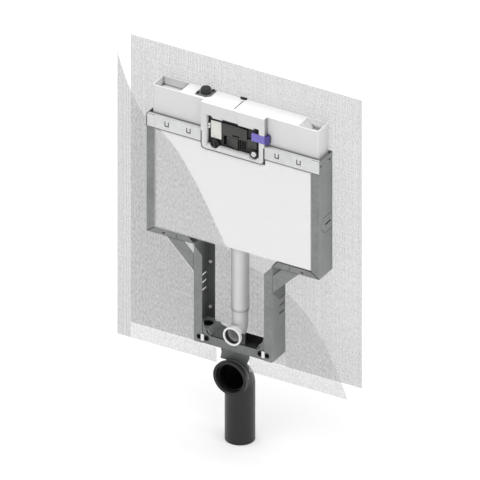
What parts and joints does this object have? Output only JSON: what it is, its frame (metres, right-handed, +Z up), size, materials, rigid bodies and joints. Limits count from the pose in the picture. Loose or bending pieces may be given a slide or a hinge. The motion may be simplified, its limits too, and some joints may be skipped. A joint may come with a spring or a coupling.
{
  "type": "concealed cistern block",
  "caption": "Flat concealed toilet cistern in a folded steel frame, with front flush levers, flush and fill valves, flush pipe, waste bend and plaster nets.",
  "frame": {"origin": "Middle of the line of WC studs, on the front plane of the steel frame", "axes": "+X to the right, +Y back to the wall, +Z up"},
  "size_m": [0.78, 0.1055, 1.232],
  "materials": {
    "steel": "galvanised, matt",
    "rail_steel": "galvanised, light",
    "dark_steel": "satin",
    "zinc": "bright",
    "tank_plastic": "matt",
    "foam": "matt foam",
    "box_plastic": "satin",
    "pipe_plastic": "satin",
    "white_plastic": "satin",
    "black_plastic": "satin",
    "waste_plastic": "satin",
    "dark_plastic": "satin",
    "seal_rubber": "matt",
    "valve_rubber": "matt",
    "slide_plastic": "satin",
    "grip_plastic": "satin",
    "blue_plastic": "satin",
    "amber_plastic": "satin",
    "card": "paper, blank",
    "brass": "machined",
    "net_mesh": "plaster net"
  },
  "bodies": {
    "block": {"channel_left": "steel", "channel_right": "steel", "brace_left": "steel", "brace_right": "steel", "front_rail_left": "rail_steel", "front_rail_right": "rail_steel", "wc_beam": "steel", "foot_plate_left": "steel", "foot_plate_right": "steel", "wall_bolts": "zinc", "stud_nuts": "black_plastic", "stud_clips": "white_plastic", "waste_bracket": "dark_steel", "waste_saddle": "dark_steel", "waste_bend": "waste_plastic", "waste_seal": "seal_rubber", "flush_bend": "pipe_plastic", "flush_pipe": "pipe_plastic", "flush_sleeve": "pipe_plastic", "flush_collar": "white_plastic", "flush_seal": "seal_rubber", "elbow_bracket": "dark_steel", "outlet_nut": "pipe_plastic", "pipe_seal": "seal_rubber", "tank_body": "tank_plastic", "insulation_panel": "foam", "inspection_box": "box_plastic", "seam_clip": "black_plastic", "carrier_plate": "black_plastic", "bridge_cover": "dark_plastic", "label_card": "card", "card_clip": "white_plastic", "lever_pin": "zinc", "valve_basket": "blue_plastic", "inlet_fitting": "brass", "inlet_plate": "steel", "inlet_screws": "black_plastic", "stop_valve": "brass", "fill_valve": "white_plastic", "net_rear": "net_mesh", "net_front_left": "net_mesh", "net_front_centre": "net_mesh", "net_front_right": "net_mesh", "net_foot_left": "net_mesh", "net_foot_right": "net_mesh"},
    "knob": {"guard_knob": "black_plastic"},
    "screw": {"lock_screw": "white_plastic"},
    "full_lever": {"lever_full": "dark_plastic"},
    "part_lever": {"lever_part": "dark_plastic"},
    "slide": {"lock_slide": "slide_plastic", "slide_grip": "grip_plastic"},
    "flush_valve": {"overflow_tube": "white_plastic", "valve_seal": "valve_rubber", "lift_hook": "amber_plastic"},
    "part_valve": {"part_float": "amber_plastic"},
    "cap": {"inlet_cap": "dark_plastic"},
    "stop": {"stop_handle": "black_plastic"},
    "float_body": {"float": "white_plastic"},
    "float_arm": {"float_lever": "dark_plastic"}
  },
  "joints": [
    {"name": "full_flush_press", "type": "hinge", "parent": "block", "child": "full_lever", "pos_m": [0, 0.0195, 0.704], "axis": [1, 0, 0], "range_deg": [0, 24]},
    {"name": "full_valve_lift", "type": "slide", "parent": "block", "child": "flush_valve", "axis": [0, 0, 1], "range_m": [0, 0.011]},
    {"name": "part_flush_press", "type": "hinge", "parent": "block", "child": "part_lever", "pos_m": [0, 0.0195, 0.704], "axis": [1, 0, 0], "range_deg": [0, 24]},
    {"name": "part_float_lift", "type": "slide", "parent": "block", "child": "part_valve", "axis": [0, 0, 1], "range_m": [0, 0.011]},
    {"name": "lock_slide_pull", "type": "slide", "parent": "block", "child": "slide", "axis": [1, 0, 0], "range_m": [0, 0.012]},
    {"name": "guard_knob_turn", "type": "hinge", "parent": "block", "child": "knob", "pos_m": [-0.064, 0.005, 0.665], "axis": [0, 1, 0], "range_deg": [0, 90]},
    {"name": "lock_screw_turn", "type": "hinge", "parent": "block", "child": "screw", "pos_m": [0.068, 0.005, 0.665], "axis": [0, 1, 0], "range_deg": [0, 90]},
    {"name": "inlet_cap_lift", "type": "slide", "parent": "block", "child": "cap", "axis": [0, 0, 1], "range_m": [0, 0.03]},
    {"name": "stop_valve_turn", "type": "hinge", "parent": "block", "child": "stop", "pos_m": [-0.114, 0.047, 0.7575], "axis": [1, 0, 0], "range_deg": [0, 90]},
    {"name": "float_rise", "type": "slide", "parent": "block", "child": "float_body", "axis": [0, 0, 1], "range_m": [-0.02, 0]},
    {"name": "float_lever_turn", "type": "hinge", "parent": "block", "child": "float_arm", "pos_m": [-0.104, 0.0295, 0.728], "axis": [0, 1, 0], "range_deg": [-29.1, 0]}
  ],
  "couplings": [
    {"joint": "full_flush_press", "follows": "full_valve_lift", "rad_per_m": 38},
    {"joint": "part_flush_press", "follows": "part_float_lift", "rad_per_m": 38},
    {"joint": "float_lever_turn", "follows": "float_rise", "rad_per_m": 25.35}
  ]
}
